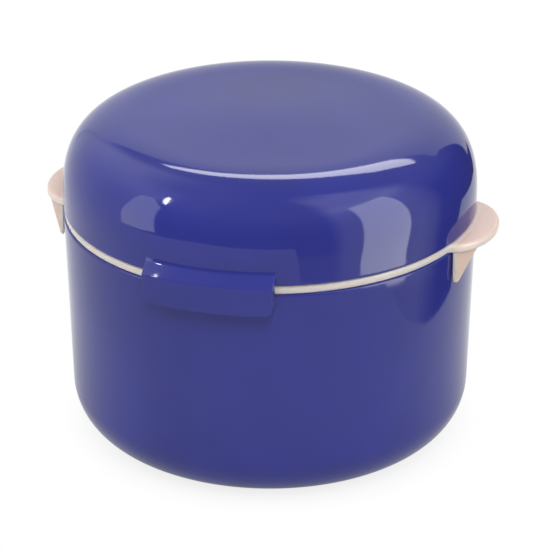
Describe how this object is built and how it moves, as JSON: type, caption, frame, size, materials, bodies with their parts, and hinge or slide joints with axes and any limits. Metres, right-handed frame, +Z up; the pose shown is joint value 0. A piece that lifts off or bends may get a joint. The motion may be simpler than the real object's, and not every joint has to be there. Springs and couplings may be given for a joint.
{
  "type": "denture case",
  "caption": "Round lidded case with a back hinge, a front snap tab and a perforated strainer basket whose flange and two ears show in the seam.",
  "frame": {"origin": "middle of the cup's flat base", "axes": "+Z up through the lid, +X towards the right ear, -Y towards the snap tab, +Y towards the hinge"},
  "size_m": [0.0956, 0.0933, 0.0684],
  "materials": {
    "cup_blue": "glossy moulded plastic",
    "lid_blue": "glossy moulded plastic",
    "basket_cream": "milky satin moulded plastic",
    "pin_steel": "plain drawn wire"
  },
  "bodies": {
    "cup": {"cup": "cup_blue", "hinge_pin": "pin_steel"},
    "lid": {"lid": "lid_blue"},
    "basket": {"basket": "basket_cream"}
  },
  "joints": [
    {"name": "lid_hinge", "type": "hinge", "parent": "cup", "child": "lid", "pos_m": [0, 0.04565, 0.0485], "axis": [-1, 0, 0], "range_deg": [0, 110]},
    {"name": "basket_turn", "type": "hinge", "parent": "cup", "child": "basket", "pos_m": [0, 0, 0.0476], "axis": [0, 0, 1], "range_deg": [-50, 50]}
  ]
}
